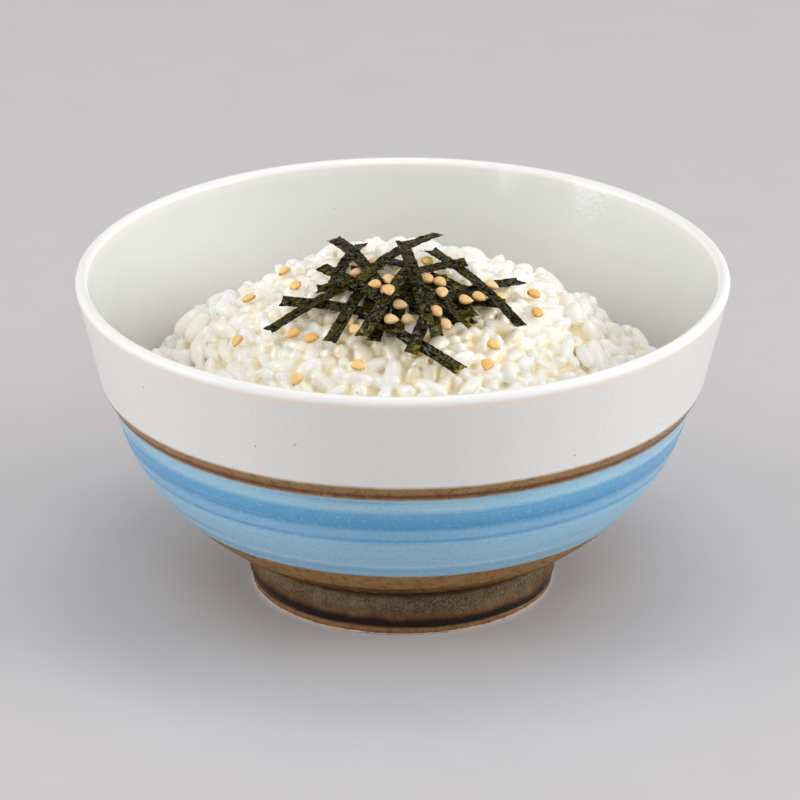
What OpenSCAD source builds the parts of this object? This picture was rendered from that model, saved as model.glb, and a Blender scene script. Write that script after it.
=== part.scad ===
// Footed ceramic rice bowl, heaped with cooked rice under shredded nori and sesame seeds
// Origin at the centre of the foot ring's ground face, +Z up, millimetres

/* [Bowl] */
// Outside diameter of the rim
rim_d = 151; // [144:1:160]
// Height of the bowl from the table to the top of the lip
bowl_h = 76; // [73:0.5:80]
// How far the straight upper wall leans out from the shoulder to the rim
wall_flare = 5.5; // [4:0.5:8]
// Height of the shoulder, where the round belly meets the straight upper wall
shoulder_h = 52; // [49:0.5:54]
// Thickness of the upper wall and of the rounded lip
wall_t = 2.8; // [2.2:0.1:3.4]
// Height of the inside floor above the table
floor_h = 13; // [11.5:0.5:15]

/* [Foot] */
// Outside diameter at the top of the foot ring
foot_top_d = 72; // [68:1:76]
// Outside diameter at the bottom of the foot ring
foot_base_d = 70; // [66:1:74]
// Height of the foot ring
foot_h = 10.5; // [9.5:0.5:12]
// Width of the ground face that the bowl stands on
foot_ring_w = 4.5; // [3.5:0.5:6]
// Depth of the recess inside the foot ring
recess_h = 7; // [5.5:0.5:8]
// Height of the roll where the glaze pooled on the foot
glaze_roll_h = 4; // [3:0.5:6]

/* [Rice] */
// Height of the top of the rice heap
rice_top_h = 79; // [77:0.5:82]
// Height at which the rice meets the wall
rice_edge_h = 46; // [43:0.5:49]
// Clearance between the rice and the wall
rice_gap = 0.3; // [0.25:0.05:0.6]
// Length of a cooked grain
grain_l = 7.2; // [6.4:0.2:8]
// Thickness of a cooked grain
grain_d = 3.2; // [2.8:0.1:3.6]
// Clearance around each grain
grain_gap = 0.2; // [0.15:0.05:0.3]

/* [Nori] */
// Width of a nori strip
nori_w = 3; // [2.4:0.1:3.2]
// Thickness of a nori strip
nori_t = 0.25; // [0.15:0.05:0.3]
// Clearance between one layer of strips and the next
nori_gap = 0.3; // [0.25:0.05:0.4]

/* [Sesame] */
// Length of a sesame seed
seed_l = 3.3; // [2.9:0.1:3.6]
// Width of a sesame seed
seed_w = 2.4; // [2:0.1:2.6]
// Thickness of a sesame seed
seed_t = 1.3; // [1:0.1:1.5]

/* [Hidden] */
$fn = 96;

// Upper wall: a straight cone that touches the round lip
lip_r = wall_t / 2;
lip_c = [rim_d / 2 - lip_r, bowl_h - lip_r];
shoulder = [rim_d / 2 - wall_flare, shoulder_h];
wall_run = lip_c - shoulder;
wall_a = atan2(wall_run.x, wall_run.y) + asin(lip_r / norm(wall_run));
wall_n = [cos(wall_a), -sin(wall_a)];
wall_u = [sin(wall_a), cos(wall_a)];

// Belly outside: an arc that leaves the wall smoothly and ends on top of the foot
foot_top = [foot_top_d / 2, foot_h];
belly_run = shoulder - foot_top;
belly_r = belly_run * belly_run / (2 * (belly_run * wall_n));
belly_c = shoulder - belly_r * wall_n;

// Belly inside: an arc that leaves the wall smoothly and runs out flat on the floor
inner_shoulder = shoulder - wall_t * wall_n;
inner_r = (inner_shoulder.y - floor_h) / (1 - sin(wall_a));
inner_c = inner_shoulder - inner_r * wall_n;

// Foot ring
foot_base_r = foot_base_d / 2;
foot_chamfer = 0.7;
recess_base_r = foot_base_r - foot_ring_w - 2 * foot_chamfer;
recess_taper = 1;
glaze_roll_r = 1;
glaze_roll_out = 0.35;

// Rice heap: a parabola whose top layer is one grain thick
edge_r = inner_c.x + sqrt(pow(inner_r, 2) - pow(inner_c.y - rice_edge_h, 2)) - rice_gap;
heap_k = (rice_top_h - rice_edge_h) / pow(edge_r, 2);
core_top_h = rice_top_h - grain_d - 2 * grain_gap;
heap_steps = 24;
seat_h = grain_d + 2 * grain_gap;

// Rings of grains, one grain's thickness apart along the slope
grain_tip_r = 1.2;
ring_pitch = grain_d + 1.2;
ring_zones = [[0, 4], [5, 9], [10, 16]];
grain_turn = 7;
grain_seed = 11;

// Nori lies in round shells, one above the other
shell_slack = 1.15;
shell_r0 = shell_slack / (2 * heap_k);
shell_c = rice_top_h + nori_gap - shell_r0;
shell_pitch = nori_t + nori_gap;

// Each strip: middle x, middle y, heading in degrees, length, shell
NORI = [
    [-11, -2, 110, 30, 5],
    [-13, 2, 75, 26, 0],
    [-11, -17, 130, 24, 7],
    [-13, -12, 175, 14, 1],
    [-20, -18, 25, 26, 3],
    [-16, -20, 150, 28, 2],
    [-12, -23, 65, 24, 4],
    [-4, -25, 65, 26, 8],
    [-1, -3, 55, 32, 6],
    [3, -18, 100, 35, 9],
    [17, -12, 130, 34, 4],
    [8, -9, 30, 16, 5],
    [17, -13, 40, 28, 2],
    [14, -18, 15, 22, 1],
    [10, -22, 135, 18, 3],
    [3, -34, 145, 26, 3],
    [4, -32, 75, 15, 5],
    [7, -27, 100, 14, 4],
    [11, -16, 130, 18, 0],
    [-1, -2, 140, 10, 0],
    [-1, -23, 90, 12, 0],
    [-5, -26, 75, 14, 1],
    [-1, -13, 10, 24, 2],
    [-7, -18, 75, 16, 0],
    [3, -18, 90, 12, 0],
    [10, -22, 130, 10, 0],
    [-8, -4, 0, 8, 0],
    [-1, -15, 20, 14, 1],
    [2, -20, 120, 10, 2],
    [10, -11, 150, 10, 1]
];

// Each seed on the nori: x, y, heading in degrees, shell of the strip under it
NORI_SEEDS = [
    [-7, -18, 20, 4], [-3, -15, 100, 2], [-1, -10, 40, 0], [-4, -19, 70, 2], [-3, -24, 100, 8],
    [0, -23, 160, 1], [-2, -29, 170, 3], [2, -27, 160, 0], [6, -14, 120, 2], [9, -15, 130, 2],
    [9, -20, 90, 3], [8, -28, 120, 5], [10, -28, 120, 0], [-12, -27, 110, 0], [-10, -29, 170, 0],
    [-11, -8, 10, 0], [15, -19, 180, 1], [18, -17, 160, 1], [21, -12, 160, 2], [-6, -4, 130, 0]
];

// Each seed on the rice: x, y, heading in degrees
RICE_SEEDS = [
    [-26, 5, 50], [-23, -6, 100], [-33, -2, 160], [-36, -18, 70], [-24, -23, 20], [-19, -26, 170],
    [-9, -36, 140], [-23, -36, 60], [28, -5, 30], [29, -13, 80], [20, -28, 150], [18, -34, 80],
    [5, -2, 70], [20, -12, 30]
];

// Height and outward tilt of the rice under the top layer of grains
function core_h(r) = core_top_h - heap_k * r * r;
function core_tilt(r) = atan(2 * heap_k * r);

// Radius of each ring of grains, stepping evenly along the slope
function ring_r(n) = n == 0 ? grain_l * 0.6 : ring_r(n - 1) + ring_pitch * cos(core_tilt(ring_r(n - 1)));

// Places its children on the heap at x, y, upright on the slope and turned to a heading
module on_heap(x, y, heading) {
    r = norm([x, y]);
    a = atan2(y, x);
    translate([x, y, core_h(r)])
        rotate([0, 0, a])
            rotate([0, core_tilt(r), 0])
                rotate([0, 0, heading - a])
                    children();
}

// Turns its children about the shells' centre so that their Z passes over x, y
module over_shell(x, y, heading, radius) {
    a = atan2(y, x);
    translate([0, 0, shell_c])
        rotate([0, 0, a])
            rotate([0, asin(norm([x, y]) / radius), 0])
                rotate([0, 0, heading - a])
                    children();
}

// Half section of everything within the straight upper wall, up to the middle of the lip
module wall_half() {
    polygon([
        [0, shoulder.y], shoulder, lip_c + lip_r * wall_n, lip_c - lip_r * wall_n, [0, lip_c.y]
    ]);
}

// Half section of a round belly with a flat middle, between height low and the lip
module belly_half(centre, radius, low) {
    intersection() {
        union() {
            translate(centre) circle(r = radius, $fn = 180);
            polygon([[0, centre.y - radius], centre - [0, radius], centre, [0, centre.y]]);
        }
        translate([0, low]) square([rim_d, lip_c.y - low]);
    }
}

// Half section of the room inside the bowl and above it, drawn in by gap
module room_half(gap) {
    low = inner_shoulder - gap * wall_n;
    high = low + bowl_h * wall_u;
    polygon([[0, low.y], low, high, [0, high.y]]);
    belly_half(inner_c, inner_r - gap, 0);
}

// Half section of the foot, with its chamfered ground face and the roll of pooled glaze
module foot_half() {
    roll_r = foot_base_r + (foot_top.x - foot_base_r) * glaze_roll_h / foot_h;
    polygon([
        [0, 0], [foot_base_r - foot_chamfer, 0], [foot_base_r, foot_chamfer],
        foot_top, foot_top + foot_chamfer * [-1, 1], [0, foot_h + foot_chamfer]
    ]);
    translate([roll_r + glaze_roll_out - glaze_roll_r, glaze_roll_h])
        circle(r = glaze_roll_r, $fn = 48);
}

// Half section of the recess inside the foot ring
module recess_half() {
    polygon([
        [0, -1], [recess_base_r + foot_chamfer + 1, -1], [recess_base_r, foot_chamfer],
        [recess_base_r - recess_taper, recess_h], [0, recess_h]
    ]);
}

// The ceramic bowl, one fired piece
module bowl() {
    color("whitesmoke")
        rotate_extrude($fn = 180) {
            difference() {
                union() {
                    wall_half();
                    belly_half(belly_c, belly_r, foot_h);
                    foot_half();
                }
                room_half(0);
                recess_half();
            }
            translate(lip_c) circle(r = lip_r, $fn = 48);
        }
}

// The rice in the bowl, up to the underside of the top layer of grains
module rice_mound() {
    color("ivory")
        rotate_extrude($fn = 180)
            intersection() {
                room_half(rice_gap);
                polygon(concat(
                    [[0, 0]],
                    [[rim_d / 2, 0]],
                    [for (i = [heap_steps : -1 : 0])
                        let (r = rim_d / 2 * i / heap_steps) [r, core_h(r)]]
                ));
            }
}

// One cooked grain along X: a round belly between two small round tips
module grain() {
    tip_x = grain_l / 2 - grain_tip_r;
    side_r = (pow(grain_d / 2, 2) + pow(tip_x, 2) - pow(grain_tip_r, 2)) / (grain_d - 2 * grain_tip_r);
    side_x = tip_x * side_r / (side_r - grain_tip_r);
    rotate([0, 90, 0])
        rotate_extrude($fn = 32)
            intersection() {
                union() {
                    intersection() {
                        translate([grain_d / 2 - side_r, 0]) circle(r = side_r, $fn = 96);
                        translate([0, -side_x]) square([grain_d, 2 * side_x]);
                    }
                    for (end = [-1, 1])
                        translate([0, end * tip_x]) circle(r = grain_tip_r, $fn = 32);
                }
                translate([0, -grain_l]) square([grain_d, 2 * grain_l]);
            }
}

// One ring of grains of radius r, laid end to end around the heap
module grain_ring(n, r) {
    count = floor(180 / asin((grain_l + 3 * grain_gap) / (2 * r)));
    turns = rands(-grain_turn, grain_turn, count, grain_seed + n);
    for (i = [0 : count - 1]) {
        a = 360 * (i + 0.5 * (n % 2)) / count;
        on_heap(r * cos(a), r * sin(a), a + 90 + turns[i])
            translate([0, 0, grain_gap + grain_d / 2])
                grain();
    }
}

// The rings of grains of one zone, as far as the rice reaches
module grain_zone(zone) {
    for (n = [zone[0] : zone[1]]) {
        r = ring_r(n);
        if (r < edge_r - grain_d)
            grain_ring(n, r);
    }
}

// Visible grains around the top of the heap
module rice_grains_inner() {
    color("white") grain_zone(ring_zones[0]);
}

// Visible grains half way down the heap
module rice_grains_middle() {
    color("white") grain_zone(ring_zones[1]);
}

// Visible grains near the wall
module rice_grains_outer() {
    color("white") grain_zone(ring_zones[2]);
}

// Nori strip n, bent along its shell
module nori_strip(n) {
    strip = NORI[n - 1];
    radius = shell_r0 + strip[4] * shell_pitch;
    half_a = strip[3] / radius * 90 / PI;
    reach = 2 * radius;
    color("darkslategray")
        over_shell(strip[0], strip[1], strip[2], radius)
            rotate([90, 0, 0])
                linear_extrude(height = nori_w, center = true)
                    intersection() {
                        difference() {
                            circle(r = radius + nori_t, $fn = 360);
                            circle(r = radius, $fn = 360);
                        }
                        polygon([
                            [0, 0],
                            [reach * sin(half_a), reach * cos(half_a)],
                            [-reach * sin(half_a), reach * cos(half_a)]
                        ]);
                    }
}

// One sesame seed along X, lying flat: a drop, trimmed above and below
module sesame_seed() {
    fat_r = seed_w / 2;
    tip_r = 0.35;
    span = seed_l - fat_r - tip_r;
    side_a = asin((fat_r - tip_r) / span);
    rotate([0, 90, 0])
        intersection() {
            rotate_extrude($fn = 32)
                intersection() {
                    union() {
                        circle(r = fat_r, $fn = 48);
                        translate([0, span]) circle(r = tip_r, $fn = 24);
                        polygon([
                            [0, 0], [fat_r * cos(side_a), fat_r * sin(side_a)],
                            [tip_r * cos(side_a), span + tip_r * sin(side_a)], [0, span]
                        ]);
                    }
                    translate([0, -seed_l]) square([seed_w, 3 * seed_l]);
                }
            cube([seed_t, 2 * seed_w, 4 * seed_l], center = true);
        }
}

// Sesame seeds that lie on the nori
module sesame_on_nori() {
    color("burlywood")
        for (seed = NORI_SEEDS) {
            radius = shell_r0 + seed[3] * shell_pitch + nori_t + grain_gap / 2 + seed_t / 2;
            over_shell(seed[0], seed[1], seed[2], radius)
                translate([0, 0, radius])
                    sesame_seed();
        }
}

// Sesame seeds that lie on the rice
module sesame_on_rice() {
    color("burlywood")
        for (seed = RICE_SEEDS)
            on_heap(seed[0], seed[1], seed[2])
                translate([0, 0, seat_h + seed_t / 2])
                    sesame_seed();
}

bowl();
rice_mound();
rice_grains_inner();
rice_grains_middle();
rice_grains_outer();
nori_strip(1);  // nori_strip_01
nori_strip(2);  // nori_strip_02
nori_strip(3);  // nori_strip_03
nori_strip(4);  // nori_strip_04
nori_strip(5);  // nori_strip_05
nori_strip(6);  // nori_strip_06
nori_strip(7);  // nori_strip_07
nori_strip(8);  // nori_strip_08
nori_strip(9);  // nori_strip_09
nori_strip(10);  // nori_strip_10
nori_strip(11);  // nori_strip_11
nori_strip(12);  // nori_strip_12
nori_strip(13);  // nori_strip_13
nori_strip(14);  // nori_strip_14
nori_strip(15);  // nori_strip_15
nori_strip(16);  // nori_strip_16
nori_strip(17);  // nori_strip_17
nori_strip(18);  // nori_strip_18
nori_strip(19);  // nori_strip_19
nori_strip(20);  // nori_strip_20
nori_strip(21);  // nori_strip_21
nori_strip(22);  // nori_strip_22
nori_strip(23);  // nori_strip_23
nori_strip(24);  // nori_strip_24
nori_strip(25);  // nori_strip_25
nori_strip(26);  // nori_strip_26
nori_strip(27);  // nori_strip_27
nori_strip(28);  // nori_strip_28
nori_strip(29);  // nori_strip_29
nori_strip(30);  // nori_strip_30
sesame_on_nori();
sesame_on_rice();
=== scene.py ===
"""A footed ceramic rice bowl, heaped with cooked rice under shredded nori and sesame seeds.

Sizes are in millimetres unless a docstring says metres, and meshes are scaled to metres as they are made.
Colours are given as they are seen, from 0 to 255.
"""

import logging
import math
from dataclasses import dataclass
from enum import Enum
from typing import NamedTuple, Optional, Sequence, Union

import bmesh
import bpy
import numpy as np
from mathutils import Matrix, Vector
from mathutils.kdtree import KDTree


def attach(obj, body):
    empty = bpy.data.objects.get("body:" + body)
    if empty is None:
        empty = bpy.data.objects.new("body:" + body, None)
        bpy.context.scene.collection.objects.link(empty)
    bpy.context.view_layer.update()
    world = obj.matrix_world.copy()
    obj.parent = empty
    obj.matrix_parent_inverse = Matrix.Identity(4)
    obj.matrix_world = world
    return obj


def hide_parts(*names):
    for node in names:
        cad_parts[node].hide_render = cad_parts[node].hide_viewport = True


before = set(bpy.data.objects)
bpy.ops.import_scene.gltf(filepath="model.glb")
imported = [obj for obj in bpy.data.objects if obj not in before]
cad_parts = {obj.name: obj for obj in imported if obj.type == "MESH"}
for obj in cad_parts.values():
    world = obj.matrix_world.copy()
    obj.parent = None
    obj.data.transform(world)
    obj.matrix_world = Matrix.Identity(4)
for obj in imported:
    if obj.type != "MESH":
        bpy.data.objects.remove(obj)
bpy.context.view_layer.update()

MM = 0.001
BAKE_MAP = "OFBake"
log = logging.getLogger("rice_bowl")


class Body(Enum):
    """The moving bodies of the frame."""

    BOWL = "bowl"
    RICE = "rice"
    TOPPING = "topping"


class Slot(Enum):
    """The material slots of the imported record."""

    STONEWARE = "glazed_stoneware"
    RICE = "cooked_rice"
    NORI = "dried_nori"
    SESAME = "toasted_sesame"


# Shader graphs


class Wire:
    """A node's output that Python arithmetic can be written with."""

    def __init__(self, graph: "Graph", socket: bpy.types.NodeSocket) -> None:
        """Keeps the socket, and the graph that new nodes go to."""
        self.graph = graph
        self.socket = socket

    def math(self, operation: str, first: "Term", second: "Term" = 0.0) -> "Wire":
        """Adds one Math node and gives its result."""
        return self.graph.node("ShaderNodeMath", {"operation": operation}, {0: first, 1: second})

    def __add__(self, other: "Term") -> "Wire":
        """self + other."""
        return self.math("ADD", self, other)

    __radd__ = __add__

    def __sub__(self, other: "Term") -> "Wire":
        """self - other."""
        return self.math("SUBTRACT", self, other)

    def __rsub__(self, other: "Term") -> "Wire":
        """other - self."""
        return self.math("SUBTRACT", other, self)

    def __mul__(self, other: "Term") -> "Wire":
        """self * other."""
        return self.math("MULTIPLY", self, other)

    __rmul__ = __mul__

    def __truediv__(self, other: "Term") -> "Wire":
        """self / other."""
        return self.math("DIVIDE", self, other)

    def step(self, low: float, high: float) -> "Wire":
        """Rises smoothly from 0 at low to 1 at high."""
        return self.graph.node(
            "ShaderNodeMapRange",
            {"interpolation_type": "SMOOTHSTEP"},
            {0: self, 1: low, 2: high, 3: 0.0, 4: 1.0},
        )

    def band(self, low: float, high: float, soft: float) -> "Wire":
        """1 between low and high, fading to 0 over soft on either side."""
        return self.step(low - soft, low + soft) * (1 - self.step(high - soft, high + soft))


Term = Union[Wire, float, Sequence[float]]


class Graph:
    """The node tree of one material, with its Principled shader."""

    def __init__(self, name: str) -> None:
        """Makes an empty material of that name with one Principled shader."""
        self.material = bpy.data.materials.new(name)
        self.material.use_nodes = True
        self.tree = self.material.node_tree
        self.shader = self.tree.nodes["Principled BSDF"]

    def feed(self, socket: bpy.types.NodeSocket, value: Term) -> None:
        """Links a wire to a socket, or sets a plain value on it."""
        if isinstance(value, Wire):
            self.tree.links.new(value.socket, socket)
        else:
            socket.default_value = value

    def node(
        self,
        kind: str,
        settings: Optional[dict] = None,
        sockets: Optional[dict] = None,
        output: Union[int, str] = 0,
    ) -> Wire:
        """Adds a node.

        Args:
            kind: the node's type.
            settings: its properties, set first; "stops" are a ramp's places and colours.
            sockets: values or wires for its inputs, by name or number.
            output: the output to give back.

        Returns:
            That output as a wire.
        """
        made = self.tree.nodes.new(kind)
        for name, value in (settings or {}).items():
            if name == "stops":
                self.set_stops(made.color_ramp, value)
            else:
                setattr(made, name, value)
        for key, value in (sockets or {}).items():
            self.feed(made.inputs[key], value)
        return Wire(self, made.outputs[output])

    @staticmethod
    def set_stops(ramp: bpy.types.ColorRamp, stops: Sequence[tuple]) -> None:
        """Gives a ramp its stops, in rising order."""
        while len(ramp.elements) < len(stops):
            ramp.elements.new(1.0)
        for element, (place, colour) in zip(ramp.elements, stops):
            element.position = place
            element.color = colour

    def place(self) -> Wire:
        """The point on the surface, in metres in the part's frame."""
        return self.node("ShaderNodeTexCoord", output="Object")

    def axis(self, vector: Wire, name: str) -> Wire:
        """One component of a vector."""
        return self.node("ShaderNodeSeparateXYZ", sockets={0: vector}, output=name)

    def stretch(self, vector: Wire, factors: Sequence[float]) -> Wire:
        """A vector times one factor for each axis."""
        return self.node("ShaderNodeVectorMath", {"operation": "MULTIPLY"}, {0: vector, 1: factors})

    def noise(self, vector: Wire, scale: float, detail: float = 2.0, rough: float = 0.5) -> Wire:
        """Smooth noise around 0.5."""
        return self.node(
            "ShaderNodeTexNoise",
            sockets={"Vector": vector, "Scale": scale, "Detail": detail, "Roughness": rough},
        )

    def mix(self, first: Term, second: Term, factor: Term, blend: str = "MIX") -> Wire:
        """Mixes two colours."""
        return self.node(
            "ShaderNodeMix", {"data_type": "RGBA", "blend_type": blend}, {0: factor, 6: first, 7: second}, 2
        )

    def layers(self, colour: Wire, coats: Sequence[tuple]) -> Wire:
        """Lays coats over a colour, each a row of its seen colour, where it lies and its strength."""
        for shade, where, strength in coats:
            colour = self.mix(colour, srgb(*shade), where * strength)
        return colour

    def ramp(self, value: Term, stops: Sequence[tuple]) -> Wire:
        """A colour ramp over a value."""
        return self.node("ShaderNodeValToRGB", {"stops": stops}, {0: value})

    def attribute(self, name: str) -> Wire:
        """A number stored on the mesh."""
        return self.node("ShaderNodeAttribute", {"attribute_name": name}, output="Fac")

    def bump(self, height: Wire, depth: float) -> Wire:
        """A bumped normal from a height of 0 to 1, depth metres deep."""
        return self.node("ShaderNodeBump", sockets={"Strength": 1.0, "Distance": depth, "Height": height})

    def finish(self, **sockets: Term) -> bpy.types.Material:
        """Feeds the Principled shader, named with _ for a space, and gives the material."""
        for name, value in sockets.items():
            self.feed(self.shader.inputs[name.replace("_", " ")], value)
        return self.material


def srgb(red: float, green: float, blue: float) -> tuple[float, float, float, float]:
    """A colour from 0 to 255 as it is seen, turned into linear light."""
    def lift(value: float) -> float:
        """One channel in linear light."""
        value /= 255
        return value / 12.92 if value <= 0.04045 else ((value + 0.055) / 1.055) ** 2.4

    return lift(red), lift(green), lift(blue), 1.0


# Finishes


class Band(NamedTuple):
    """One glaze from the table up: the height it starts at, its soft edge there and its colour."""

    start: float
    soft: float
    colour: tuple


@dataclass(frozen=True)
class OutsideGlaze:
    """White glaze over brushed bands of brown and blue, down to a mottled brown foot."""

    bowl_h: float
    sway: float = 0.7
    hand: float = 0.35
    waist: float = 31.0
    blue_from: float = 23.3
    line_from: float = 48.0
    white_from: float = 52.0
    ramp_to: float = 53.0

    def foot_bands(self) -> list[Band]:
        """The glazes from the table to the waist."""
        return [
            Band(0.0, 0.0, srgb(236, 226, 214)),
            Band(0.55, 0.12, srgb(150, 82, 26)),
            Band(1.2, 0.35, srgb(128, 112, 86)),
            Band(5.4, 1.2, srgb(108, 88, 60)),
            Band(10.2, 0.5, srgb(66, 40, 18)),
            Band(14.2, 1.2, srgb(112, 78, 40)),
            Band(16.6, 0.8, srgb(156, 116, 66)),
            Band(self.blue_from, 0.35, srgb(137, 189, 220)),
            Band(26.8, 0.4, srgb(166, 207, 229)),
            Band(27.4, 0.4, srgb(147, 195, 224)),
        ]

    def belly_bands(self) -> list[Band]:
        """The glazes from the waist to the white wall."""
        return [
            Band(self.waist, 0.0, srgb(147, 195, 224)),
            Band(35.5, 0.4, srgb(100, 163, 206)),
            Band(36.5, 0.4, srgb(130, 183, 216)),
            Band(39.2, 0.7, srgb(80, 149, 198)),
            Band(41.5, 1.6, srgb(100, 165, 208)),
            Band(44.2, 0.7, srgb(156, 199, 223)),
            Band(self.line_from, 0.4, srgb(152, 110, 64)),
            Band(48.8, 0.3, srgb(108, 62, 24)),
            Band(49.8, 0.4, srgb(156, 118, 72)),
            Band(self.white_from, 0.45, srgb(227, 226, 224)),
        ]

    @staticmethod
    def stops(bands: Sequence[Band], low: float, high: float) -> list[tuple]:
        """Ramp stops of some bands, with heights from low to high brought to 0 to 1."""
        found = [(0.0, bands[0].colour)]
        for below, band in zip(bands, bands[1:]):
            found.append(((band.start - band.soft - low) / (high - low), below.colour))
            found.append(((band.start + band.soft - low) / (high - low), band.colour))
        return found

    def material(self) -> bpy.types.Material:
        """Builds the glaze."""
        g = Graph("outside_glaze")
        spot = g.place()
        height = g.axis(spot, "Z") / MM
        sway = (g.noise(spot, 22, 1) - 0.5) * self.sway
        hand = (g.noise(spot, 300, 2) - 0.5) * self.hand
        level = height + sway + hand
        low = g.ramp(level / self.waist, self.stops(self.foot_bands(), 0.0, self.waist))
        share = (level - self.waist) / (self.ramp_to - self.waist)
        high = g.ramp(share, self.stops(self.belly_bands(), self.waist, self.ramp_to))
        above = level.step(self.blue_from - 0.5, self.blue_from + 0.5)
        blue = level.band(self.blue_from, self.line_from, 0.5)
        brown = 1 - above + level.band(self.line_from + 0.2, self.white_from - 0.2, 0.3)
        pale = level.step(self.white_from + 0.2, self.ramp_to)

        brush = g.noise(g.stretch(spot, (9, 9, 620)), 1, 4, 0.6)
        wash = g.noise(g.stretch(spot, (30, 30, 130)), 1, 3)
        streak = (brush - 0.5) * 1.5 + (wash - 0.5) * 0.7
        mottle = g.noise(spot, 420, 4, 0.65)
        grit = g.noise(spot, 1300, 2)
        patch = g.noise(spot, 70, 3)
        rings = g.noise(g.stretch(spot, (8, 8, 900)), 1, 2)
        frost = g.noise(spot, 1700, 3, 0.7)
        speck = g.noise(spot, 2600, 2)
        pin = g.noise(spot, 620, 0).step(0.86, 0.885)

        around = g.axis(g.node("ShaderNodeVectorMath", {"operation": "NORMALIZE"}, {0: spot}), "X")
        pool = height + (g.noise(spot, 34, 2) - 0.5) * 1.8 + around * 0.4
        drip = (g.noise(g.stretch(spot, (190, 190, 50)), 1, 3) - 0.5) * 4.2
        fade = height.step(1.5, 2.3) * (1 - (pool + drip).step(3.4, 7.8))
        dark = pool.step(1.8, 2.4) * (1 - (pool + drip * 0.5).step(3.4, 5.2))
        blush = height.band(self.bowl_h - 3.4, self.bowl_h - 2.0, 0.7)
        # Painted highlight: the top of the lip is made whiter than the white wall.
        lip = height.step(self.bowl_h - 2.6, self.bowl_h - 1.2)
        colour = g.layers(
            g.mix(low, high, level.step(self.waist, self.waist + 0.2)),
            [
                ((64, 128, 182), blue * streak.step(0.02, 0.5), 0.55),
                ((190, 219, 232), blue * (0 - streak).step(0.04, 0.5), 0.45),
                ((58, 34, 14), brown * mottle.step(0.48, 0.72), 0.6),
                ((168, 142, 104), brown * (1 - mottle).step(0.52, 0.76), 0.45),
                ((50, 28, 10), brown * grit.step(0.58, 0.74), 0.5),
                ((70, 134, 186), blue * grit.step(0.54, 0.76), 0.3),
                ((188, 216, 230), blue * (1 - grit).step(0.54, 0.76), 0.25),
                ((76, 46, 18), height.band(1.6, 10.4, 0.5) * patch.step(0.44, 0.62), 0.65),
                ((44, 24, 10), height.band(10.0, 16.8, 0.7) * rings.step(0.46, 0.64), 0.8),
                ((140, 132, 114), height.band(1.4, 9.8, 0.6) * frost.step(0.40, 0.66), 0.5),
                ((92, 46, 8), fade, 0.9),
                ((18, 8, 4), dark, 0.97),
                ((206, 204, 200), pale * speck.step(0.48, 0.72), 0.24),
                ((240, 239, 237), pale * (1 - speck).step(0.50, 0.72), 0.25),
                ((140, 116, 94), pale * pin, 0.6),
                ((238, 222, 208), blush, 0.55),
                # The painted highlight along the top of the lip.
                ((245, 244, 242), lip, 1.0),
            ],
        )
        relief = g.noise(spot, 900, 2) * 0.6 + brush * blue * 0.5 + mottle * brown * 0.5
        gloss = 0.30 + above * 0.35 + blue * 0.30 + dark * 0.25 + (mottle - 0.5) * 0.2
        return g.finish(
            Base_Color=colour,
            Roughness=0.5,
            Normal=g.bump(relief, 0.00007),
            Specular_IOR_Level=0.0,
            Coat_Weight=gloss,
            Coat_Roughness=0.26,
        )


@dataclass(frozen=True)
class InsideGlaze:
    """Smooth pale grey-green glaze with a warm edge at the lip, and a painted highlight along its top."""

    bowl_h: float

    def material(self) -> bpy.types.Material:
        """Builds the glaze."""
        g = Graph("inside_glaze")
        spot = g.place()
        height = g.axis(spot, "Z") / MM
        cloud = g.noise(spot, 45, 3)
        pin = g.noise(spot, 560, 0).step(0.875, 0.90)
        blush = height.band(self.bowl_h - 2.8, self.bowl_h - 1.4, 0.5)
        # Painted highlight: the top of the lip is made whiter than the inside glaze.
        lip = height.step(self.bowl_h - 1.8, self.bowl_h - 0.8)
        colour = g.layers(
            g.mix(srgb(219, 220, 218), srgb(226, 227, 226), cloud),
            [((160, 138, 112), pin, 0.6), ((243, 236, 228), blush, 0.3), ((245, 244, 242), lip, 1.0)],
        )
        flow = g.noise(g.stretch(spot, (60, 60, 14)), 1, 2)
        relief = flow * 0.8 + g.noise(spot, 700, 2) * 0.2
        shine = 0.10 + (cloud - 0.5) * 0.06
        return g.finish(Base_Color=colour, Roughness=shine, Normal=g.bump(relief, 0.00025))


@dataclass(frozen=True)
class BareClay:
    """Unglazed fired clay of the ground face."""

    def material(self) -> bpy.types.Material:
        """Builds the clay."""
        g = Graph("bare_clay")
        spot = g.place()
        grit = g.noise(spot, 1500, 3)
        colour = g.mix(srgb(226, 214, 198), srgb(196, 172, 146), grit.step(0.4, 0.7))
        return g.finish(Base_Color=colour, Roughness=0.75 + grit * 0.15, Normal=g.bump(grit, 0.00012))


@dataclass(frozen=True)
class FootGlaze:
    """Thin brown glaze wiped over the recess under the foot."""

    def material(self) -> bpy.types.Material:
        """Builds the glaze."""
        g = Graph("foot_glaze")
        spot = g.place()
        mottle = g.noise(spot, 260, 4, 0.6)
        colour = g.mix(srgb(120, 100, 76), srgb(78, 52, 30), mottle.step(0.4, 0.65))
        return g.finish(Base_Color=colour, Roughness=0.25 + mottle * 0.2, Normal=g.bump(mottle, 0.0001))


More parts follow.
